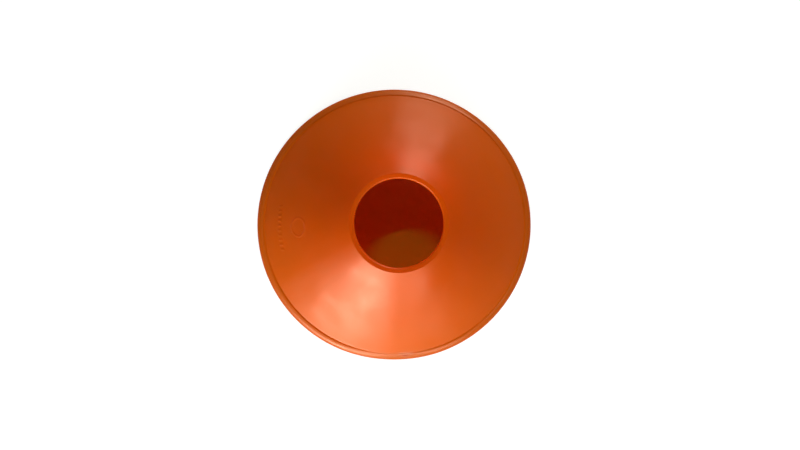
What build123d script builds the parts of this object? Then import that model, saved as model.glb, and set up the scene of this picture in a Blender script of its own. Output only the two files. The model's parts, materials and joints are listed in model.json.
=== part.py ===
from build123d import *
from math import atan2, cos, degrees, tan
import os

# Sports marker cone: a low, open cone moulded in one piece from soft plastic.
# A flat-topped lip runs round the hole in its top, and a crowned rim runs along
# the edge of its foot, outside a narrow step. It stands on the flat ring under
# the rim, and cones of one size nest inside each other.
# The origin is on the ground, on the axis of the cone, with +Z up.

# Driving dimensions, in millimetres
base_diameter = 190.0  # across the edge of the foot
overall_height = 50.0  # ground to the flat top of the lip
hole_diameter = 55.0  # clear hole through the lip
wall_thickness = 1.6  # skin of the cone, square to its slope
lip_width = 3.1  # flat top of the lip, from the hole to the skin
lip_height = 3.5  # lip, from its lower face to its flat top
rim_width = 4.4  # crowned rim along the edge of the foot
rim_height = 3.8  # ground to the step and to the inner edge of the rim
rim_edge_height = 0.75  # upright edge of the foot, before it is rounded
rim_crown_radius = 8.0  # gentle crown across the rim
step_width = 1.05  # flat step between the skin and the rim

# Rounded corners, in millimetres
hole_edge_round = 0.9  # upper edge of the hole
hole_under_round = 0.5  # lower edge of the hole
lip_edge_round = 0.6  # outer edge of the lip's flat top
lip_under_round = 1.0  # inside corner between the lip and the skin
step_round = 0.4  # inside corner between the skin and the step
rim_inner_round = 0.3  # inner edge of the rim
rim_edge_round = 0.8  # outer edge of the rim
foot_edge_round = 0.4  # edges of the flat ring that the cone stands on

# Radii of the section, worked out from the driving dimensions
hole_radius = hole_diameter / 2
lip_radius = hole_radius + lip_width
edge_radius = base_diameter / 2
rim_inner_radius = edge_radius - rim_width
skin_foot_radius = rim_inner_radius - step_width

# The skin is straight from the step to the lip, and its underside runs parallel
# to it, lower by the wall's thickness measured straight down
slope = atan2(overall_height - rim_height, skin_foot_radius - lip_radius)
skin_drop = wall_thickness / cos(slope)
lip_under_height = overall_height - lip_height
lip_under_radius = lip_radius + (lip_height - skin_drop) / tan(slope)
under_foot_radius = skin_foot_radius + (rim_height - skin_drop) / tan(slope)

# Corners of the section, as radius and height
hole_top = (hole_radius, overall_height)
lip_top = (lip_radius, overall_height)
skin_foot = (skin_foot_radius, rim_height)
rim_inner = (rim_inner_radius, rim_height)
rim_outer = (edge_radius, rim_edge_height)
edge_bottom = (edge_radius, 0)
under_foot = (under_foot_radius, 0)
lip_under = (lip_under_radius, lip_under_height)
hole_bottom = (hole_radius, lip_under_height)

corner_rounds = [
    (hole_top, hole_edge_round),
    (lip_top, lip_edge_round),
    (skin_foot, step_round),
    (rim_inner, rim_inner_round),
    (rim_outer, rim_edge_round),
    (edge_bottom, foot_edge_round),
    (under_foot, foot_edge_round),
    (lip_under, lip_under_round),
    (hole_bottom, hole_under_round),
]

with BuildPart() as cone_shell:
    with BuildSketch(Plane.XZ) as section:
        with BuildLine() as outline:
            Polyline(hole_bottom, hole_top, lip_top, skin_foot, rim_inner)
            RadiusArc(rim_inner, rim_outer, rim_crown_radius)
            Polyline(rim_outer, edge_bottom, under_foot, lip_under, hole_bottom)
        make_face()
        for corner, radius in corner_rounds:
            fillet(section.vertices().sort_by_distance(corner)[0], radius)
    revolve(axis=Axis.Z)
cone_shell.part.label = "cone_shell"

os.makedirs("parts", exist_ok=True)
export_step(cone_shell.part, "parts/cone_shell.step")

print(f"slope of the skin {degrees(slope):.1f} degrees")
print(f"volume {cone_shell.part.volume:.0f} cubic millimetres")
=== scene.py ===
"""Looks of a sports marker cone: one soft orange moulding on a pale floor, in soft studio light.

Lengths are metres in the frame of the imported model, with +Z up along the axis of the cone. The cone
is one closed surface: its moulded section is carried round the axis, and the unevenness of a soft
moulding, a trimmed gate and a few plain raised marks are worked into it.
"""

import json
import logging
import math
from collections.abc import Sequence
from dataclasses import dataclass
from enum import Enum

import bpy
import numpy as np
from mathutils import Matrix, Vector


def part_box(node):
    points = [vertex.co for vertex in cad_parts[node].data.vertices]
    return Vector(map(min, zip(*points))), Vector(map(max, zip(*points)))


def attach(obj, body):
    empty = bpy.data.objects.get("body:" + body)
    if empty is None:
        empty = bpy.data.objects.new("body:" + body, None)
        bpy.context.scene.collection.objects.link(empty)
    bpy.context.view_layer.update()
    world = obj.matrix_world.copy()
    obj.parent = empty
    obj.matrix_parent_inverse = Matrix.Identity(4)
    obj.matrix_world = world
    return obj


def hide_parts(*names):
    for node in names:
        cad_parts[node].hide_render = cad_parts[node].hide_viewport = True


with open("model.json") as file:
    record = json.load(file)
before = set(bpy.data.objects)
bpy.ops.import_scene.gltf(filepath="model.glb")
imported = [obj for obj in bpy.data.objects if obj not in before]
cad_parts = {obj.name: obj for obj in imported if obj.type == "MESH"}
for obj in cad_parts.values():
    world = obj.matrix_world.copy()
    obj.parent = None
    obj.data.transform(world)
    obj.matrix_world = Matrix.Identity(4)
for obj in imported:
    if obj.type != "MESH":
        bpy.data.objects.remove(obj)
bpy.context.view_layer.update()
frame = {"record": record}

Colour = tuple[float, float, float]
Place = tuple[float, float, float]
Socket = bpy.types.NodeSocket
Input = float | Sequence[float] | Socket

MM = 0.001
FULL_TURN = 2.0 * math.pi
STRAIGHT_UP = 0.5 * math.pi
ON_PLAN = (1.0, 1.0, 0.0)
WHITE = (1.0, 1.0, 1.0)
CONE_NODE = "cone_shell"
HOLE_MOUNT = "top_hole"

log = logging.getLogger("marker_cone")


class Side(Enum):
    """Face of the moulding, with the number of its material on the mesh."""

    OUTSIDE = 0
    UNDERSIDE = 1


def smooth_step(low: float, high: float, value: np.ndarray) -> np.ndarray:
    """Rises from 0 at low to 1 at high, as 3 s squared less 2 s cubed of the share s between them."""
    share = np.clip((value - low) / (high - low), 0.0, 1.0)
    return share * share * (3.0 - 2.0 * share)


@dataclass(frozen=True)
class FinePatch:
    """Stretch of a line that is cut more finely than the rest.

    Attributes:
        centre: Middle of the stretch.
        half_width: Distance from the middle to where the fine steps start to grow.
        step: Length of a step inside the stretch.
    """

    centre: float
    half_width: float
    step: float


def graded_positions(start: float, stop: float, step: float, patches: Sequence[FinePatch]) -> np.ndarray:
    """Cuts a line into short steps inside patches and longer ones between them.

    The number of cuts per unit length is the largest that the plain step or a patch asks for, and a
    patch fades out over half its half width. This density is added up along the line, and the sum is
    cut into equal shares.

    Args:
        start: Where the line starts.
        stop: Where it ends.
        step: Step outside the patches.
        patches: Stretches with shorter steps.

    Returns:
        Positions from start to stop, both included.
    """
    samples = 4001
    fade_end = 1.5
    line = np.linspace(start, stop, samples)
    density = np.full(samples, 1.0 / step)
    for patch in patches:
        away = np.abs(line - patch.centre) / patch.half_width
        density = np.maximum(density, (1.0 - smooth_step(1.0, fade_end, away)) / patch.step)
    pieces = 0.5 * (density[1:] + density[:-1]) * np.diff(line)
    total = np.concatenate(([0.0], np.cumsum(pieces)))
    cuts = math.ceil(total[-1])
    return np.interp(np.linspace(0.0, total[-1], cuts + 1), total, line)


def unit_vector(angle: float) -> np.ndarray:
    """Gives the unit vector at an angle, as radius and height."""
    return np.array((math.cos(angle), math.sin(angle)))


@dataclass(frozen=True)
class Round:
    """Rounded stretch of the section, along which the outward normal turns.

    A point of it lies at the centre plus the radius times the normal, so a hollow corner has a
    negative radius.

    Attributes:
        centre: Centre of the arc, as radius from the axis and height.
        radius: Radius of the arc.
        start: Angle of the normal where the arc starts, from the direction away from the axis.
        end: Angle of the normal where it ends.
    """

    centre: np.ndarray
    radius: float
    start: float
    end: float

    def trace(self, step: float) -> tuple[np.ndarray, np.ndarray]:
        """Gives points along the arc.

        Args:
            step: Largest turn of the normal from one point to the next.

        Returns:
            The points, and the angle of the normal at each.
        """
        fewest = 2
        steps = max(fewest, math.ceil(abs(self.end - self.start) / step))
        angles = np.linspace(self.start, self.end, steps + 1)
        normals = np.column_stack((np.cos(angles), np.sin(angles)))
        return self.centre + self.radius * normals, angles

    def first_point(self) -> np.ndarray:
        """Gives the point where the arc starts."""
        return self.centre + self.radius * unit_vector(self.start)


def corner_round(corner: Sequence[float], radius: float, before: float, after: float) -> Round:
    """Rounds the corner between two straight stretches of the section.

    Both stretches, moved by the radius into the material, or out of it at a hollow corner, cross at
    the centre: the corner less the radius times the sum of the two normals over one plus their product.

    Args:
        corner: Where the two stretches meet, as radius and height.
        radius: Radius of the round.
        before: Angle of the normal on the first stretch.
        after: Angle of the normal on the second stretch.

    Returns:
        The round between them.
    """
    first, second = unit_vector(before), unit_vector(after)
    signed = radius if after < before else -radius
    centre = np.array(corner) - signed * (first + second) / (1.0 + first @ second)
    return Round(centre, signed, before, after)


@dataclass(frozen=True)
class SectionLoop:
    """Closed outline of the section, point by point.

    Attributes:
        radius: Distance of each point from the axis.
        height: Height of each point above the ground.
        normal: Angle of the outward normal at each point.
        edge: How much each point lies on a rounded outer edge, from 0 to 1.
    """

    radius: np.ndarray
    height: np.ndarray
    normal: np.ndarray
    edge: np.ndarray


@dataclass(frozen=True)
class MouldedSection:
    """Sizes of the cone's section: lip, skin, step, rim and foot.

    Attributes:
        edge_radius: Axis to the edge of the foot.
        height: Ground to the flat top of the lip.
        hole_radius: Axis to the wall of the hole.
        wall: Thickness of the skin, square to its slope.
        lip_width: Flat top of the lip, from the hole to the skin.
        lip_height: Lip, from its lower face to its top.
        rim_width: Crowned rim along the edge of the foot.
        rim_height: Ground to the step and to the inner edge of the rim.
        rim_edge_height: Upright edge of the foot, before it is rounded.
        rim_crown_radius: Crown across the rim.
        step_width: Flat step between the skin and the rim.
        hole_edge_round: Upper edge of the hole.
        hole_under_round: Lower edge of the hole.
        lip_edge_round: Outer edge of the lip's top.
        lip_under_round: Inside corner between the lip and the skin.
        step_round: Inside corner between the skin and the step.
        rim_inner_round: Inner edge of the rim.
        rim_edge_round: Outer edge of the rim.
        foot_edge_round: Edges of the ring that the cone stands on.
        turn_step: Largest turn of the normal between two points of a round.
        plain_step: Longest step along the outside.
        under_step: Longest step along the underside.
        touching: Gap below which two rounds touch.
    """

    edge_radius: float
    height: float
    hole_radius: float
    wall: float = 1.6 * MM
    lip_width: float = 3.1 * MM
    lip_height: float = 3.5 * MM
    rim_width: float = 4.4 * MM
    rim_height: float = 3.8 * MM
    rim_edge_height: float = 0.75 * MM
    rim_crown_radius: float = 8.0 * MM
    step_width: float = 1.05 * MM
    hole_edge_round: float = 0.9 * MM
    hole_under_round: float = 0.5 * MM
    lip_edge_round: float = 0.6 * MM
    lip_under_round: float = 1.0 * MM
    step_round: float = 0.4 * MM
    rim_inner_round: float = 0.3 * MM
    rim_edge_round: float = 0.8 * MM
    foot_edge_round: float = 0.4 * MM
    turn_step: float = math.radians(12.0)
    plain_step: float = 1.3 * MM
    under_step: float = 2.6 * MM
    touching: float = 0.001 * MM

    @property
    def lip_radius(self) -> float:
        """Axis to the outer edge of the lip's top."""
        return self.hole_radius + self.lip_width

    @property
    def rim_inner_radius(self) -> float:
        """Axis to the inner edge of the rim."""
        return self.edge_radius - self.rim_width

    @property
    def skin_foot_radius(self) -> float:
        """Axis to the foot of the skin, at the step."""
        return self.rim_inner_radius - self.step_width

    @property
    def slope(self) -> float:
        """Angle of the skin above the ground."""
        return math.atan2(self.height - self.rim_height, self.skin_foot_radius - self.lip_radius)

    @property
    def skin_normal(self) -> float:
        """Angle of the skin's normal, from the direction away from the axis."""
        return STRAIGHT_UP - self.slope

    def rim_rounds(self) -> list[Round]:
        """Gives the crown across the rim and the rounds at its two edges.

        The crown is an arc over the chord of the rim. The round at either edge touches the crown from
        inside, so its centre lies at the difference of the two radii from the crown's centre.

        Returns:
            The inner round, the crown and the outer round.
        """
        inner = np.array((self.rim_inner_radius, self.rim_height))
        outer = np.array((self.edge_radius, self.rim_edge_height))
        chord = outer - inner
        length = float(np.linalg.norm(chord))
        outward = np.array((-chord[1], chord[0])) / length
        rise = math.sqrt(self.rim_crown_radius**2 - 0.25 * length**2)
        centre = 0.5 * (inner + outer) - rise * outward

        inner_reach = self.rim_crown_radius - self.rim_inner_round
        inner_up = self.rim_height - self.rim_inner_round - centre[1]
        inner_out = math.sqrt(inner_reach**2 - inner_up**2)
        inner_turn = math.atan2(inner_up, inner_out)
        outer_reach = self.rim_crown_radius - self.rim_edge_round
        outer_out = self.edge_radius - self.rim_edge_round - centre[0]
        outer_up = math.sqrt(outer_reach**2 - outer_out**2)
        outer_turn = math.atan2(outer_up, outer_out)
        return [
            Round(centre + (inner_out, inner_up), self.rim_inner_round, STRAIGHT_UP, inner_turn),
            Round(centre, self.rim_crown_radius, inner_turn, outer_turn),
            Round(centre + (outer_out, outer_up), self.rim_edge_round, outer_turn, 0.0),
        ]

    def rounds(self) -> list[Round]:
        """Gives all rounds of the section in order, from the hole over skin and foot to the underside.

        Returns:
            The rounds, with straight stretches between them.
        """
        up, skin = STRAIGHT_UP, self.skin_normal
        drop = self.wall / math.cos(self.slope)
        lip_under = self.height - self.lip_height
        lip_under_radius = self.lip_radius + (self.lip_height - drop) / math.tan(self.slope)
        under_foot_radius = self.skin_foot_radius + (self.rim_height - drop) / math.tan(self.slope)
        return [
            corner_round((self.hole_radius, self.height), self.hole_edge_round, math.pi, up),
            corner_round((self.lip_radius, self.height), self.lip_edge_round, up, skin),
            corner_round((self.skin_foot_radius, self.rim_height), self.step_round, skin, up),
            *self.rim_rounds(),
            corner_round((self.edge_radius, 0.0), self.foot_edge_round, 0.0, -up),
            corner_round((under_foot_radius, 0.0), self.foot_edge_round, -up, skin - math.pi),
            corner_round((lip_under_radius, lip_under), self.lip_under_round, skin - math.pi, -up),
            corner_round((self.hole_radius, lip_under), self.hole_under_round, -up, -math.pi),
        ]

    def straight(
        self, start: np.ndarray, end: np.ndarray, normal: float, patches: Sequence[FinePatch]
    ) -> np.ndarray:
        """Cuts a straight stretch of the outline into steps.

        Args:
            start: Where it starts.
            end: Where the next round starts.
            normal: Angle of its normal.
            patches: Finer stretches of the skin, by distance down the slope from the lip's edge.

        Returns:
            Its points with the first and without the last, or none where the two rounds touch.
        """
        run = end - start
        reach = float(np.linalg.norm(run))
        if reach < self.touching:
            return np.empty((0, 2))
        step = self.under_step if normal < -STRAIGHT_UP else self.plain_step
        fine = patches if normal == self.skin_normal else ()
        cuts = graded_positions(0.0, reach, min(step, 0.5 * reach), fine)
        return start + np.outer(cuts[:-1] / reach, run)

    def loop(self, patches: Sequence[FinePatch]) -> SectionLoop:
        """Traces the section as one closed loop of points.

        Args:
            patches: Finer stretches of the skin, by distance down the slope from the lip's edge.

        Returns:
            The loop, from the hole's upper edge over skin, foot and underside to the hole's wall.
        """
        rounds = self.rounds()
        rows: list[np.ndarray] = []
        for part, following in zip(rounds, rounds[1:] + rounds[:1]):
            arc, angles = part.trace(self.turn_step)
            straight = self.straight(arc[-1], following.first_point(), part.end, patches)
            is_edge = 0.0 < part.radius < self.rim_crown_radius
            bell = is_edge * np.sin(np.linspace(0.0, math.pi, len(arc)))
            level = np.full((len(straight), 2), (part.end, 0.0))
            rows.append(np.column_stack((arc, angles, bell))[:-1])
            rows.append(np.column_stack((straight, level)))
        return SectionLoop(*np.concatenate(rows).T)


@dataclass(frozen=True)
class SoftForm:
    """Unevenness that a thin soft moulding takes on as it cools and is handled.

    Attributes:
        oval: How much nearer to the axis the foot's edge comes across its narrow way.
        long_way: Azimuth of the foot's long way.
        waves: Number of gentle waves in the skin.
        shortest: Shortest wave.
        longest: Longest wave.
        lift: Height of the waves together.
        sink: Depth of the shallow ring where the thicker lip has shrunk.
        sink_away: Distance of that ring from the lip.
        sink_width: Width of that ring.
        lip_sag: How far the lip's top falls from its outer edge to the hole.
        fade: Distance over which the waves fade out towards the lip and the step.
        seed: Start of the random draws.
    """

    oval: float = 1.05 * MM
    long_way: float = math.radians(8.0)
    waves: int = 24
    shortest: float = 16.0 * MM
    longest: float = 48.0 * MM
    lift: float = 0.09 * MM
    sink: float = 0.05 * MM
    sink_away: float = 4.0 * MM
    sink_width: float = 2.4 * MM
    lip_sag: float = 0.3 * MM
    fade: float = 10.0 * MM
    seed: int = 7

    def ripple(self, x: np.ndarray, y: np.ndarray) -> np.ndarray:
        """Gives the height of the waves over the plan.

        It is a sum of sines that cross the plan in evenly spread directions, each with a wavelength
        and a phase drawn at random, and all of one height.

        Args:
            x: Places along X.
            y: Places along Y.

        Returns:
            The height at each place.
        """
        draws = np.random.default_rng(self.seed)
        headings = np.linspace(0.0, math.pi, self.waves, endpoint=False)
        numbers = FULL_TURN / draws.uniform(self.shortest, self.longest, self.waves)
        phases = draws.uniform(0.0, FULL_TURN, self.waves)
        across = np.multiply.outer(numbers * np.cos(headings), x)
        upward = np.multiply.outer(numbers * np.sin(headings), y)
        waves = np.sin(across + upward + phases[:, None, None])
        return self.lift * waves.sum(axis=0) / math.sqrt(self.waves)


@dataclass(frozen=True)
class RaisedMarks:
    """Plain raised marks of the mould: a row of short bars and a round ring.

    Attributes:
        azimuth: Where they stand round the axis.
        bar_radius: Axis to the middle of the bars.
        bar_count: Number of bars.
        bar_pitch: Distance from one bar to the next.
        bar_length: Length of a bar, down the slope.
        bar_width: Width of a bar, across the slope.
        ring_radius: Axis to the middle of the ring.
        ring_size: Radius of the ring's line.
        ring_line: Width of the ring's line.
        height: Height of the marks above the skin.
        soft: Width of the rounded flank of a mark.
        step: Step of the mesh round the marks.
        margin: Length of the finely meshed arc, as a multiple of the row's length.
    """

    azimuth: float = math.radians(182.0)
    bar_radius: float = 78.0 * MM
    bar_count: int = 10
    bar_pitch: float = 3.2 * MM
    bar_length: float = 2.8 * MM
    bar_width: float = 1.2 * MM
    ring_radius: float = 64.5 * MM
    ring_size: float = 6.0 * MM
    ring_line: float = 1.1 * MM
    height: float = 0.2 * MM
    soft: float = 0.7 * MM
    step: float = 0.42 * MM
    margin: float = 1.1

    def lift(self, across: np.ndarray, radius: np.ndarray, slope: float) -> np.ndarray:
        """Gives the height of the marks above the skin.

        Each mark is flat on top, and falls to the skin over its flank by a smooth step of the distance
        from its outline. The bars repeat at their pitch along the arc.

        Args:
            across: Distance from the marks' azimuth along the arc.
            radius: Distance from the axis.
            slope: Angle of the skin above the ground.

        Returns:
            The height at each place.
        """
        down_bar = np.abs(radius - self.bar_radius) / math.cos(slope)
        down_ring = (radius - self.ring_radius) / math.cos(slope)
        half_row = 0.5 * (self.bar_count - 1)
        number = np.clip(np.round(across / self.bar_pitch + half_row), 0, self.bar_count - 1) - half_row
        beside = np.abs(across - number * self.bar_pitch)
        outside = np.maximum(beside - 0.5 * self.bar_width, down_bar - 0.5 * self.bar_length)
        flank = 0.5 * self.soft
        bars = 1.0 - smooth_step(-flank, flank, outside)
        from_line = np.abs(np.hypot(across, down_ring) - self.ring_size) - 0.5 * self.ring_line
        ring = 1.0 - smooth_step(-flank, flank, from_line)
        return self.height * np.maximum(bars, ring)


@dataclass(frozen=True)
class TrimmedGate:
    """Place on the rim where the plastic came into the mould and was trimmed off.

    The rim sinks into the line of the skin there and its edge is cut back a little, and a raised scar is
    left, painted pale as a highlight.

    Attributes:
        azimuth: Where the scar lies round the axis.
        radius: Axis to the middle of the scar.
        length: Length of the scar along the rim.
        width: Width of the scar across the rim.
        lift: Height of the scar.
        nick: Depth of the knife's nick outside the scar.
        nick_away: Distance of the nick from the scar.
        nick_fade: How fast the nick fades along and across the rim, by the scar's length and width.
        rough: Wavelength of the scar's ragged top.
        ragged: Share of the scar's height by which its ragged top rises and falls.
        lean: How much faster the ragged top changes across the rim than along it.
        beat: Second wave of the ragged top, as a share of the first one's number.
        beat_start: Phase of that second wave.
        run_azimuth: Middle of the stretch where the rim sinks.
        run_length: Length of that stretch.
        run_share: How far the rim sinks in the middle of it, as a share of its height over the skin's line.
        run_end: Height of that line at the edge of the foot.
        trim: How far the edge is cut back.
        step: Step of the mesh along the rim at the scar.
    """

    azimuth: float = math.radians(274.3)
    radius: float = 90.3 * MM
    length: float = 10.0 * MM
    width: float = 1.6 * MM
    lift: float = 0.35 * MM
    nick: float = 0.5 * MM
    nick_away: float = 1.5 * MM
    nick_fade: tuple[float, float] = (4.0, 3.0)
    rough: float = 2.6 * MM
    ragged: float = 0.25
    lean: float = 2.0
    beat: float = 0.6
    beat_start: float = 1.0
    run_azimuth: float = math.radians(268.0)
    run_length: float = 60.0 * MM
    run_share: float = 0.7
    run_end: float = 0.4 * MM
    trim: float = 0.65 * MM
    step: float = 0.5 * MM

    def scar(self, across: np.ndarray, radius: np.ndarray) -> np.ndarray:
        """Gives how much a place lies on the scar, from 0 to 1.

        It is a bell, flatter along the scar than across it, cut down by the product of two waves.

        Args:
            across: Distance from the scar along the arc.
            radius: Distance from the axis.

        Returns:
            The share at each place.
        """
        out = radius - self.radius
        bell = np.exp(-((2.0 * across / self.length) ** 4) - (2.0 * out / self.width) ** 2)
        number = FULL_TURN / self.rough
        first = np.sin(number * across + self.lean * number * out)
        second = np.sin(self.beat * number * across + self.beat_start)
        return bell * (1.0 - self.ragged + self.ragged * first * second)

    def cut(self, across: np.ndarray, radius: np.ndarray) -> np.ndarray:
        """Gives how much a place lies in the nick, from 0 to 1, as a shorter bell outside the scar."""
        along, out = self.nick_fade[0] * across, self.nick_fade[1] * (radius - self.radius - self.nick_away)
        return np.exp(-((along / self.length) ** 2) - (out / self.width) ** 2)

    def lift_of(self, across: np.ndarray, radius: np.ndarray) -> np.ndarray:
        """Gives the height of the scar, less the depth of the nick."""
        return self.lift * self.scar(across, radius) - self.nick * self.cut(across, radius)

    def run_out(self, across: np.ndarray) -> np.ndarray:
        """Gives how far the rim has sunk, as a bell along it."""
        return self.run_share * np.exp(-((2.0 * across / self.run_length) ** 2))


class NodeSheet:
    """One node tree, with short calls that add nodes and feed their sockets."""

    def __init__(self, tree: bpy.types.NodeTree) -> None:
        """Clears the tree and keeps it."""
        self.tree = tree
        tree.nodes.clear()

    def feed(self, socket: Socket, value: Input) -> None:
        """Links a socket to another one, or sets it to a value, with a colour's full alpha added.

        Args:
            socket: Socket that is fed.
            value: The other socket, or the value.
        """
        if isinstance(value, Socket):
            self.tree.links.new(value, socket)
        elif socket.type == "RGBA":
            socket.default_value = (*value, 1.0)
        else:
            socket.default_value = value

    def node(
        self, kind: str, inputs: dict[str | int, Input] | None = None, **settings: object
    ) -> bpy.types.Node:
        """Adds a node.

        Args:
            kind: Type of the node.
            inputs: What feeds its input sockets, by name or number.
            settings: Its other properties, by name.

        Returns:
            The new node.
        """
        made = self.tree.nodes.new(kind)
        for name, value in settings.items():
            setattr(made, name, value)
        for name, value in (inputs or {}).items():
            self.feed(made.inputs[name], value)
        return made

    def math(self, operation: str, first: Input, second: Input = 0.0) -> Socket:
        """Adds a Math node and gives its result."""
        return self.node("ShaderNodeMath", {0: first, 1: second}, operation=operation).outputs[0]

    def vector(self, operation: str, *vectors: Input) -> bpy.types.Node:
        """Adds a Vector Math node."""
        return self.node("ShaderNodeVectorMath", dict(enumerate(vectors)), operation=operation)

    def on_plan(self, place: Input) -> Socket:
        """Gives the part of a place that lies along the ground."""
        return self.vector("MULTIPLY", place, ON_PLAN).outputs[0]

    def distance(self, place: Input) -> Socket:
        """Gives the distance of a place from the origin."""
        return self.vector("LENGTH", place).outputs["Value"]

    def noise(self, place: Input, scale: Input, detail: float, roughness: float = 0.5) -> Socket:
        """Adds a Noise Texture and gives its value."""
        inputs = {"Vector": place, "Scale": scale, "Detail": detail, "Roughness": roughness}
        return self.node("ShaderNodeTexNoise", inputs).outputs[0]

    def mask(self, name: str) -> Socket:
        """Reads a number that the mesh keeps for each of its points."""
        return self.node("ShaderNodeAttribute", attribute_name=name).outputs["Fac"]

    def remap(self, value: Input, ends: Sequence[float], result: Sequence[float]) -> Socket:
        """Carries a value smoothly from one range, given by its ends, to another."""
        inputs = {0: value, 1: ends[0], 2: ends[1], 3: result[0], 4: result[1]}
        return self.node("ShaderNodeMapRange", inputs, interpolation_type="SMOOTHSTEP").outputs[0]

    def mix(self, share: Input, first: Input, second: Input, blend: str = "MIX") -> Socket:
        """Mixes two colours by the share of the second one."""
        inputs = {0: share, 6: first, 7: second}
        return self.node("ShaderNodeMix", inputs, data_type="RGBA", blend_type=blend).outputs[2]


def new_group(name: str, inputs: dict[str, str], outputs: dict[str, str]) -> bpy.types.NodeTree:
    """Makes an empty shader node group.

    Args:
        name: Name of the group.
        inputs: Its input sockets, each with its type.
        outputs: Its output sockets, each with its type.

    Returns:
        The group.
    """
    group = bpy.data.node_groups.new(name, "ShaderNodeTree")
    for label, kind in inputs.items():
        group.interface.new_socket(label, in_out="INPUT", socket_type=kind)
    for label, kind in outputs.items():
        group.interface.new_socket(label, in_out="OUTPUT", socket_type=kind)
    return group


def add_object(name: str, data: bpy.types.ID) -> bpy.types.Object:
    """Makes an object and links it to the scene.

    Args:
        name: Name of the object.
        data: Its mesh, lamp or camera.

    Returns:
        The object.
    """
    made = bpy.data.objects.new(name, data)
    bpy.context.scene.collection.objects.link(made)
    return made


class PlasticEffects:
    """Node groups that both faces of the moulding share.

    Attributes:
        GRAIN: Detail and roughness of the fine grain.
        DRIFT: Drift of the gloss: its scale, as a share of the grain's, and its detail.
        STREAKS: Scale and detail of the streaks of pigment.
        RUN: How fast the streaks change down the slope, per metre.
        CLOUDS: Scale and detail of the clouds of pigment.
        MIDDLE: Range in which most of the noise lies.
    """

    GRAIN = (3.0, 0.6)
    DRIFT = (0.03, 4.0)
    STREAKS = (7.0, 2.0)
    RUN = 6.0
    CLOUDS = (30.0, 1.0)
    MIDDLE = (0.3, 0.7)

    def __init__(self) -> None:
        """Builds the groups once."""
        self.grain = self.build_grain()
        self.flow = self.build_flow()

    def build_grain(self) -> bpy.types.NodeTree:
        """Builds the fine grain that a blasted mould leaves, and the slow drift of its gloss.

        Returns:
            A group with a scale in, and a height and a gloss out, both about one half.
        """
        group = new_group(
            "moulded_grain",
            {"Vector": "NodeSocketVector", "Scale": "NodeSocketFloat"},
            {"Height": "NodeSocketFloat", "Gloss": "NodeSocketFloat"},
        )
        sheet = NodeSheet(group)
        entry = sheet.node("NodeGroupInput").outputs
        share, detail = self.DRIFT
        coarse = sheet.math("MULTIPLY", entry["Scale"], share)
        fine = sheet.noise(entry["Vector"], entry["Scale"], *self.GRAIN)
        slow = sheet.noise(entry["Vector"], coarse, detail)
        sheet.node("NodeGroupOutput", {"Height": fine, "Gloss": slow})
        return group

    def build_flow(self) -> bpy.types.NodeTree:
        """Builds the faint clouds and streaks of pigment in the plastic.

        The streaks are noise on the direction from the axis and, much slower, on the distance from it,
        so they run down the slope.

        Returns:
            A group with a place in, and a tone out, about one half.
        """
        group = new_group("pigment_flow", {"Vector": "NodeSocketVector"}, {"Tone": "NodeSocketFloat"})
        sheet = NodeSheet(group)
        place = sheet.node("NodeGroupInput").outputs["Vector"]
        flat = sheet.on_plan(place)
        run = sheet.math("MULTIPLY", sheet.distance(flat), self.RUN)
        raised = sheet.node("ShaderNodeCombineXYZ", {"Z": run}).outputs[0]
        line = sheet.vector("ADD", sheet.vector("NORMALIZE", flat).outputs[0], raised).outputs[0]
        both = sheet.math("ADD", sheet.noise(line, *self.STREAKS), sheet.noise(place, *self.CLOUDS))
        sheet.node("NodeGroupOutput", {"Tone": sheet.math("MULTIPLY", both, 0.5)})
        return group


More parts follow.
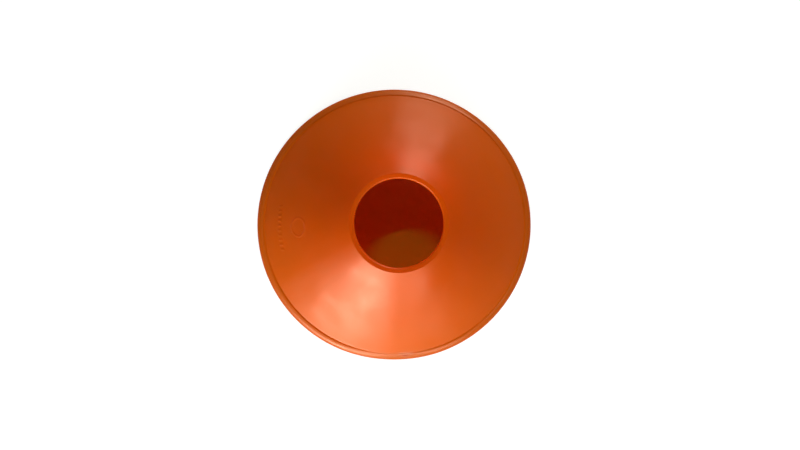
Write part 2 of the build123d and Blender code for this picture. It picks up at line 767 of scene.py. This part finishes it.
@dataclass(frozen=True)
class SoftPlastic:
    """Satin, slightly translucent soft polyethylene, as it comes out of the mould.

    Attributes:
        name: Name of the material.
        foot_colour: Colour of the plastic towards the foot.
        top_colour: Colour towards the lip, redder than at the foot.
        scar_highlight_colour: Pale colour on the gate's raised scar, a painted highlight.
        nick_shade_colour: Painted shade in the depth of the knife's nick.
        tone_spread: How far the pigment's clouds lighten and darken the colour.
        gloss_colour: Colour of the gloss, which light from just under the surface tints.
        gloss_level: Strength of the gloss, which makes up for the share of light that passes on.
        gloss_index: Index of refraction of the surface.
        roughness: Roughness of the surface.
        gloss_spread: How far the roughness drifts, and how much rougher the scar is.
        edge_polish: How much smoother the rounded edges are.
        through: Share of the light that passes on through a face of the plastic.
        through_colour: Colour of that light.
        thick_colour: Colour of that light where the plastic is thick.
        grain_scale: Fineness of the grain.
        grain_depth: Depth of the grain.
        turning_pitch: Distance between the turning rings of the core, or 0 for none.
        turning_depth: Depth of the turning rings.
    """

    name: str
    foot_colour: Colour = (0.80, 0.170, 0.0015)
    top_colour: Colour = (0.80, 0.142, 0.0010)
    scar_highlight_colour: Colour = (1.0, 0.46, 0.24)
    nick_shade_colour: Colour = (0.50, 0.05, 0.0010)
    tone_spread: float = 0.015
    gloss_colour: Colour = (1.0, 0.55, 0.36)
    gloss_level: float = 1.0
    gloss_index: float = 1.5
    roughness: float = 0.33
    gloss_spread: float = 0.05
    edge_polish: float = 0.06
    through: float = 0.55
    through_colour: Colour = (0.92, 0.154, 0.002)
    thick_colour: Colour = (0.66, 0.072, 0.0016)
    grain_scale: float = 1400.0
    grain_depth: float = 0.012 * MM
    turning_pitch: float = 0.0
    turning_depth: float = 0.0

    def material(self, effects: PlasticEffects, foot: float, top: float) -> bpy.types.Material:
        """Builds the material.

        Args:
            effects: Node groups for grain and pigment.
            foot: Height of the foot of the skin.
            top: Height of the lip.

        Returns:
            The material, on object coordinates and the mesh's own masks.
        """
        made = bpy.data.materials.new(self.name)
        made.use_nodes = True
        sheet = NodeSheet(made.node_tree)
        place = sheet.node("ShaderNodeTexCoord").outputs["Object"]
        height = sheet.node("ShaderNodeSeparateXYZ", {0: place}).outputs["Z"]
        grit = {"Vector": place, "Scale": self.grain_scale}
        grain = sheet.node("ShaderNodeGroup", grit, node_tree=effects.grain).outputs
        flow = sheet.node("ShaderNodeGroup", {"Vector": place}, node_tree=effects.flow).outputs
        scar, nick = sheet.mask(ConeShell.SCAR), sheet.mask(ConeShell.NICK)
        edge, thick = sheet.mask(ConeShell.EDGE), sheet.mask(ConeShell.THICK)

        climb = sheet.remap(height, (foot, top), (0.0, 1.0))
        plain = sheet.mix(climb, self.foot_colour, self.top_colour)
        low, high = 1.0 - self.tone_spread, 1.0 + self.tone_spread
        tone = sheet.remap(flow["Tone"], effects.MIDDLE, (low, high))
        grey = sheet.node("ShaderNodeCombineColor", {0: tone, 1: tone, 2: tone}).outputs[0]
        toned = sheet.mix(1.0, plain, grey, "MULTIPLY")
        # Painted highlight: the scar's pale colour brightens it as light catching the raised scar would.
        scar_highlighted = sheet.mix(scar, toned, self.scar_highlight_colour)
        # Painted shade: the nick's dark colour stands in for the shade in the crease.
        colour = sheet.mix(nick, scar_highlighted, self.nick_shade_colour)

        drift = sheet.remap(grain["Gloss"], effects.MIDDLE, (-self.gloss_spread, self.gloss_spread))
        matt = sheet.math("ADD", drift, self.roughness)
        worn = sheet.math("SUBTRACT", matt, sheet.math("MULTIPLY", edge, self.edge_polish))
        rough = sheet.math("ADD", worn, sheet.math("MULTIPLY", scar, self.gloss_spread))

        bumps = {"Strength": 1.0, "Distance": self.grain_depth, "Height": grain["Height"]}
        relief = sheet.node("ShaderNodeBump", bumps).outputs[0]
        if self.turning_pitch > 0.0:
            relief = self.turned(sheet, place, relief)

        inputs = {
            "Base Color": colour,
            "Roughness": rough,
            "Normal": relief,
            "IOR": self.gloss_index,
            "Specular IOR Level": self.gloss_level,
            "Specular Tint": self.gloss_colour,
        }
        face = sheet.node("ShaderNodeBsdfPrincipled", inputs)
        dyed = sheet.mix(thick, self.through_colour, self.thick_colour)
        passed = sheet.node("ShaderNodeBsdfTranslucent", {"Color": dyed, "Normal": relief})
        both = sheet.node("ShaderNodeMixShader", {0: self.through, 1: face.outputs[0], 2: passed.outputs[0]})
        sheet.node("ShaderNodeOutputMaterial", {"Surface": both.outputs[0]})
        return made

    def turned(self, sheet: NodeSheet, place: Input, relief: Input) -> Socket:
        """Adds the fine rings that turning the mould's core leaves on the underside.

        The height is a sine of the distance from the axis.

        Args:
            sheet: Where the nodes go.
            place: Place on the surface.
            relief: Normal so far.

        Returns:
            The normal with the rings.
        """
        away = sheet.distance(sheet.on_plan(place))
        rings = sheet.math("SINE", sheet.math("MULTIPLY", away, FULL_TURN / self.turning_pitch))
        inputs = {"Strength": 1.0, "Distance": self.turning_depth, "Height": rings, "Normal": relief}
        return sheet.node("ShaderNodeBump", inputs).outputs[0]


@dataclass
class ConeShell:
    """The cone, one hollow moulding.

    Attributes:
        section: Its moulded section.
        form: Unevenness of the soft skin.
        marks: Raised marks on the skin.
        gate: Scar of the gate on the rim.
        outside: Finish of the outside.
        underside: Finish of the underside.
        turn_step: Longest step round the axis, as an angle.
        down: Mean rise of its two normals below which a strip belongs to the underside.
    """

    SCAR = "gate_scar"
    NICK = "gate_nick"
    EDGE = "edge_round"
    THICK = "thick_edge"

    section: MouldedSection
    form: SoftForm
    marks: RaisedMarks
    gate: TrimmedGate
    outside: SoftPlastic
    underside: SoftPlastic
    turn_step: float = math.radians(1.35)
    down: float = -0.5

    def azimuths(self) -> np.ndarray:
        """Gives the azimuths of the mesh.

        Returns:
            Azimuths of one turn, closer together at the marks and the gate.
        """
        marks, gate = self.marks, self.gate
        row = 0.5 * marks.bar_count * marks.bar_pitch * marks.margin
        patches = [
            FinePatch(marks.azimuth, row / marks.bar_radius, marks.step / marks.bar_radius),
            FinePatch(gate.azimuth, gate.length / gate.radius, gate.step / gate.radius),
        ]
        return graded_positions(0.0, FULL_TURN, self.turn_step, patches)[:-1]

    def loop(self) -> SectionLoop:
        """Gives the section.

        Returns:
            Its loop, with shorter steps at the marks.
        """
        marks, section = self.marks, self.section
        inner = marks.ring_radius - marks.ring_size - section.lip_radius
        outer = marks.bar_radius + 0.5 * marks.bar_length - section.lip_radius
        per_radius = 1.0 / math.cos(section.slope)
        middle, half = 0.5 * (inner + outer) * per_radius, 0.5 * (outer - inner) * per_radius
        return section.loop([FinePatch(middle, half, marks.step)])

    def surface(self, loop: SectionLoop, azimuth: np.ndarray) -> tuple[np.ndarray, np.ndarray, np.ndarray]:
        """Carries the section round the axis and works the unevenness into it.

        The waves and the shrunk ring bend the whole wall along the skin's normal, and the oval draws
        the foot in, more across its narrow way and less towards the lip. The marks and the gate stand
        on the outside alone. The rim sinks towards the skin's line near the gate, and the lip sags
        towards the hole.

        Args:
            loop: The section.
            azimuth: Azimuths of its copies.

        Returns:
            The points, by section point, azimuth and axis, and how much each lies on the gate's scar
            and in its nick.
        """
        section, form = self.section, self.form
        radius = loop.radius[:, None]
        height = loop.height[:, None]
        around = azimuth[None, :]
        outward = np.sin(loop.normal)[:, None] > 0.0

        x = radius * np.cos(around)
        y = radius * np.sin(around)
        from_lip = smooth_step(section.lip_radius, section.lip_radius + form.fade, radius)
        from_step = 1.0 - smooth_step(section.skin_foot_radius - form.fade, section.skin_foot_radius, radius)
        ring = (radius - section.lip_radius - form.sink_away) / form.sink_width
        bend = form.ripple(x, y) * from_lip * from_step - form.sink * np.exp(-(ring**2))

        mark_across = self.arc_from(self.marks.azimuth, radius, around)
        gate_across = self.arc_from(self.gate.azimuth, radius, around)
        scar = np.where(outward, self.gate.scar(gate_across, radius), 0.0)
        nick = np.where(outward, self.gate.cut(gate_across, radius), 0.0)
        raised = self.marks.lift(mark_across, radius, section.slope) + self.gate.lift_of(gate_across, radius)
        raised = np.where(outward, raised, 0.0)

        sinking = self.gate.run_out(self.arc_from(self.gate.run_azimuth, radius, around))
        rim_reach = section.rim_width + section.step_width
        along_rim = np.clip((radius - section.skin_foot_radius) / rim_reach, 0.0, 1.0)
        narrow = np.sin(around - form.long_way) ** 2 * (1.0 - height / section.height)
        drawn = form.oval * narrow + self.gate.trim * sinking * along_rim
        along_lip = np.clip((section.lip_radius - radius) / section.lip_width, 0.0, 1.0)
        sunk = self.over_skin_line(loop)[:, None] * sinking + form.lip_sag * along_lip

        new_radius = radius - drawn + bend * math.sin(section.slope) + raised * np.cos(loop.normal)[:, None]
        new_height = height - sunk + bend * math.cos(section.slope) + raised * np.sin(loop.normal)[:, None]
        points = np.stack((new_radius * np.cos(around), new_radius * np.sin(around), new_height), axis=-1)
        return points, scar, nick

    def over_skin_line(self, loop: SectionLoop) -> np.ndarray:
        """Gives the height of the rim over the skin's own line.

        That line falls straight from the foot of the skin to a low point at the edge.

        Args:
            loop: The section.

        Returns:
            The height at each point of the loop.
        """
        section = self.section
        ends = (section.skin_foot_radius, section.edge_radius)
        line = np.interp(loop.radius, ends, (section.rim_height, self.gate.run_end))
        on_rim = (loop.normal >= 0.0) & (loop.radius > section.skin_foot_radius)
        return np.where(on_rim, np.maximum(loop.height - line, 0.0), 0.0)

    @staticmethod
    def arc_from(start: float, radius: np.ndarray, around: np.ndarray) -> np.ndarray:
        """Gives the distance along the arc from an azimuth, from half a turn back to half a turn on."""
        return radius * ((around - start + math.pi) % FULL_TURN - math.pi)

    def build(self) -> bpy.types.Object:
        """Builds the mesh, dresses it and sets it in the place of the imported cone.

        Returns:
            The cone.
        """
        section = self.section
        loop = self.loop()
        azimuth = self.azimuths()
        points, scar, nick = self.surface(loop, azimuth)
        rings, columns = len(loop.radius), len(azimuth)

        ring = np.arange(rings)[:, None]
        column = np.arange(columns)[None, :]
        next_ring = (ring + 1) % rings
        next_column = (column + 1) % columns
        corners = (
            ring * columns + column,
            next_ring * columns + column,
            next_ring * columns + next_column,
            ring * columns + next_column,
        )
        faces = np.stack(corners, axis=-1).reshape(-1, len(corners))
        rise = np.sin(loop.normal)
        faces_down = 0.5 * (rise + np.roll(rise, -1)) < self.down
        sides = np.where(faces_down, Side.UNDERSIDE.value, Side.OUTSIDE.value)

        mesh = bpy.data.meshes.new("cone_moulding")
        mesh.vertices.add(rings * columns)
        mesh.vertices.foreach_set("co", points.astype(np.float32).ravel())
        mesh.loops.add(faces.size)
        mesh.loops.foreach_set("vertex_index", faces.astype(np.int32).ravel())
        mesh.polygons.add(len(faces))
        mesh.polygons.foreach_set("loop_start", np.arange(0, faces.size, len(corners), dtype=np.int32))
        mesh.polygons.foreach_set("material_index", np.repeat(sides, columns).astype(np.int32))
        mesh.update(calc_edges=True)
        mesh.shade_smooth()

        rim = smooth_step(section.skin_foot_radius, section.rim_inner_radius, loop.radius)
        hole_end = section.hole_radius + section.hole_edge_round
        hole = 1.0 - smooth_step(section.hole_radius, hole_end, loop.radius)
        thick = np.repeat(np.maximum(rim, hole), columns)
        edge = np.repeat(loop.edge, columns)
        masks = {self.SCAR: scar, self.NICK: nick, self.EDGE: edge, self.THICK: thick}
        for name, values in masks.items():
            mask = mesh.attributes.new(name, "FLOAT", "POINT")
            mask.data.foreach_set("value", values.astype(np.float32).ravel())

        effects = PlasticEffects()
        for finish in (self.outside, self.underside):
            mesh.materials.append(finish.material(effects, section.rim_height, section.height))
        cone = add_object(mesh.name, mesh)
        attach(cone, "root")
        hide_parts(CONE_NODE)
        return cone


@dataclass(frozen=True)
class SoftLamp:
    """Rectangular soft lamp that looks at the cone.

    Attributes:
        name: Name of the lamp.
        azimuth: Where it stands round the cone, in degrees from +X.
        elevation: How high it stands, in degrees above the ground.
        width: Width of its face.
        height: Height of its face.
        watts: Its power.
        distance: Distance from the cone.
        colour: Colour of its light.
        mirrored: Whether the gloss of a surface shows it.
    """

    name: str
    azimuth: float
    elevation: float
    width: float
    height: float
    watts: float
    distance: float = 0.9
    colour: Colour = WHITE
    mirrored: bool = True

    def hang(self, target: Vector) -> None:
        """Sets the lamp up, turned to a point.

        Args:
            target: Point that it looks at.
        """
        light = bpy.data.lights.new(self.name, "AREA")
        light.shape = "RECTANGLE"
        light.size, light.size_y = self.width, self.height
        light.energy = self.watts
        light.color = self.colour
        lamp = add_object(self.name, light)
        around, up = math.radians(self.azimuth), math.radians(self.elevation)
        away = Vector((math.cos(around) * math.cos(up), math.sin(around) * math.cos(up), math.sin(up)))
        lamp.location = target + self.distance * away
        lamp.rotation_euler = away.to_track_quat("Z", "Y").to_euler()
        lamp.visible_camera = False
        lamp.visible_glossy = self.mirrored


@dataclass(frozen=True)
class PaleFloor:
    """Plain pale floor, white to the eye but no brighter as a lamp.

    Attributes:
        foot_radius: Axis to the edge of the cone's foot.
        colour: Colour of the floor.
        white: Light that the eye adds to the open floor near the cone.
        lit: Distance where the lamps' light starts to fade, and where the eye's white is all there is.
        under: Distance from the foot's edge to where the foot stands on the floor.
        reach: Half the floor's side.
        below: Gap under the foot.
    """

    foot_radius: float
    colour: Colour = (0.50, 0.50, 0.50)
    white: float = 0.68
    lit: tuple[float, float] = (0.4, 1.2)
    under: float = 2.5 * MM
    reach: float = 6.0
    below: float = 0.05 * MM

    def material(self) -> bpy.types.Material:
        """Builds the floor's material.

        The added white counts for rays from the eye and for passed rays, outside the foot of the cone.
        It rises to full white where the lamps' light ends.

        Returns:
            The material.
        """
        made = bpy.data.materials.new("pale_floor")
        made.use_nodes = True
        sheet = NodeSheet(made.node_tree)
        place = sheet.node("ShaderNodeTexCoord").outputs["Object"]
        away = sheet.distance(place)
        open_floor = sheet.math("GREATER_THAN", away, self.foot_radius - self.under)
        path = sheet.node("ShaderNodeLightPath").outputs
        shown = sheet.math("MAXIMUM", path["Is Camera Ray"], path["Is Transmission Ray"])
        white = sheet.remap(away, self.lit, (self.white, 1.0))
        strength = sheet.math("MULTIPLY", sheet.math("MULTIPLY", open_floor, shown), white)
        matt = sheet.node("ShaderNodeBsdfDiffuse", {"Color": self.colour})
        glow = sheet.node("ShaderNodeEmission", {"Color": WHITE, "Strength": strength})
        both = sheet.node("ShaderNodeAddShader", {0: matt.outputs[0], 1: glow.outputs[0]})
        sheet.node("ShaderNodeOutputMaterial", {"Surface": both.outputs[0]})
        return made

    def lay(self) -> bpy.types.Object:
        """Lays the floor under the cone.

        Returns:
            The floor.
        """
        side = self.reach
        corners = [(-side, -side), (side, -side), (side, side), (-side, side)]
        mesh = bpy.data.meshes.new("pale_floor")
        mesh.from_pydata([(x, y, -self.below) for x, y in corners], [], [(0, 1, 2, 3)])
        mesh.materials.append(self.material())
        floor = add_object("pale_floor", mesh)
        return floor


@dataclass(frozen=True)
class SoftSurround:
    """Light from all round, in a band above the horizon, with a dark middle of the sky.

    Attributes:
        strength: Strength of the band.
        low: Sine of the elevation where the band starts, and where it is full.
        high: Sine of the elevation where it starts to fade, and where it ends.
        colour: Colour of its light.
    """

    strength: float = 0.80
    low: tuple[float, float] = (0.42, 0.52)
    high: tuple[float, float] = (0.60, 0.69)
    colour: Colour = WHITE

    def hang(self) -> None:
        """Sets the world up, white to the eye."""
        world = bpy.data.worlds.new("soft_surround")
        bpy.context.scene.world = world
        world.use_nodes = True
        sheet = NodeSheet(world.node_tree)
        heading = sheet.node("ShaderNodeTexCoord").outputs["Generated"]
        rise = sheet.node("ShaderNodeSeparateXYZ", {0: heading}).outputs["Z"]
        starts = sheet.remap(rise, self.low, (0.0, self.strength))
        ends = sheet.remap(rise, self.high, (1.0, 0.0))
        band = sheet.math("MULTIPLY", starts, ends)
        light = sheet.node("ShaderNodeBackground", {"Color": self.colour, "Strength": band})
        white = sheet.node("ShaderNodeBackground", {"Color": WHITE, "Strength": 1.0})
        seen = sheet.node("ShaderNodeLightPath").outputs["Is Camera Ray"]
        shown = sheet.node("ShaderNodeMixShader", {0: seen, 1: light.outputs[0], 2: white.outputs[0]})
        sheet.node("ShaderNodeOutputWorld", {"Surface": shown.outputs[0]})


@dataclass(frozen=True)
class OverheadCamera:
    """Camera almost straight above the cone.

    Attributes:
        eye: Where it stands.
        aim: Point of the ground in the middle of the picture.
        lens: Focal length, in millimetres.
        sensor: Width of the sensor, in millimetres.
    """

    eye: Place = (-18.26 * MM, -7.0 * MM, 412.75 * MM)
    aim: Place = (3.05 * MM, -0.40 * MM, 0.0)
    lens: float = 26.74
    sensor: float = 36.0

    def place(self) -> None:
        """Sets the camera up, with +Y up in the picture."""
        data = bpy.data.cameras.new("overhead_camera")
        data.lens = self.lens
        data.sensor_width = self.sensor
        camera = add_object("overhead_camera", data)
        back = (Vector(self.eye) - Vector(self.aim)).normalized()
        right = Vector((0.0, 1.0, 0.0)).cross(back).normalized()
        turn = Matrix((right, back.cross(right), back)).transposed().to_4x4()
        camera.matrix_world = Matrix.Translation(self.eye) @ turn
        bpy.context.scene.camera = camera


LAMPS = (
    SoftLamp("key_lamp", azimuth=239.0, elevation=10.5, width=0.39, height=0.14, watts=5.7),
    SoftLamp("wing_lamp", azimuth=218.5, elevation=10.5, width=0.27, height=0.14, watts=0.55),
    SoftLamp("front_lamp", azimuth=257.0, elevation=13.5, width=0.30, height=0.24, watts=4.9),
    SoftLamp("side_lamp", azimuth=287.0, elevation=17.0, width=0.42, height=0.20, watts=3.2),
    SoftLamp("back_lamp", azimuth=73.0, elevation=9.0, width=0.40, height=0.24, watts=1.95),
    SoftLamp("high_back_lamp", azimuth=66.0, elevation=32.0, width=0.30, height=0.20, watts=3.8),
    SoftLamp("high_side_lamp", azimuth=325.0, elevation=34.0, width=0.24, height=0.20, watts=0.5),
    SoftLamp(
        "hole_lamp", azimuth=104.0, elevation=56.2, width=0.28, height=0.03, watts=1.3,
        distance=1.2, colour=(0.62, 0.66, 0.02), mirrored=False,
    ),
)


def measured_section() -> MouldedSection:
    """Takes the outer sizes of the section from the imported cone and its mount.

    Returns:
        The section.
    """
    low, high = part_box(CONE_NODE)
    mounts = {mount["name"]: mount for mount in frame["record"]["mounts"]}
    return MouldedSection(
        edge_radius=0.5 * (high.x - low.x),
        height=high.z,
        hole_radius=mounts[HOLE_MOUNT]["dims"]["r_mm"] * MM,
    )


def main() -> None:
    """Builds the cone and the stage round it."""
    logging.basicConfig(level=logging.INFO, format="%(name)s: %(message)s")
    bpy.context.scene.view_settings.view_transform = "Standard"

    section = measured_section()
    cone = ConeShell(
        section=section,
        form=SoftForm(),
        marks=RaisedMarks(),
        gate=TrimmedGate(),
        outside=SoftPlastic("cone_outside"),
        underside=SoftPlastic("cone_underside", turning_pitch=0.6 * MM, turning_depth=0.004 * MM),
    )
    for piece in (cone.build(), PaleFloor(section.edge_radius).lay()):
        log.info("%s: %d faces", piece.name, len(piece.data.polygons))
    SoftSurround().hang()
    middle = Vector((0.0, 0.0, 0.5 * section.height))
    for lamp in LAMPS:
        lamp.hang(middle)
        log.info("%s: %.2f W", lamp.name, lamp.watts)
    OverheadCamera().place()


if __name__ == "__main__":
    main()
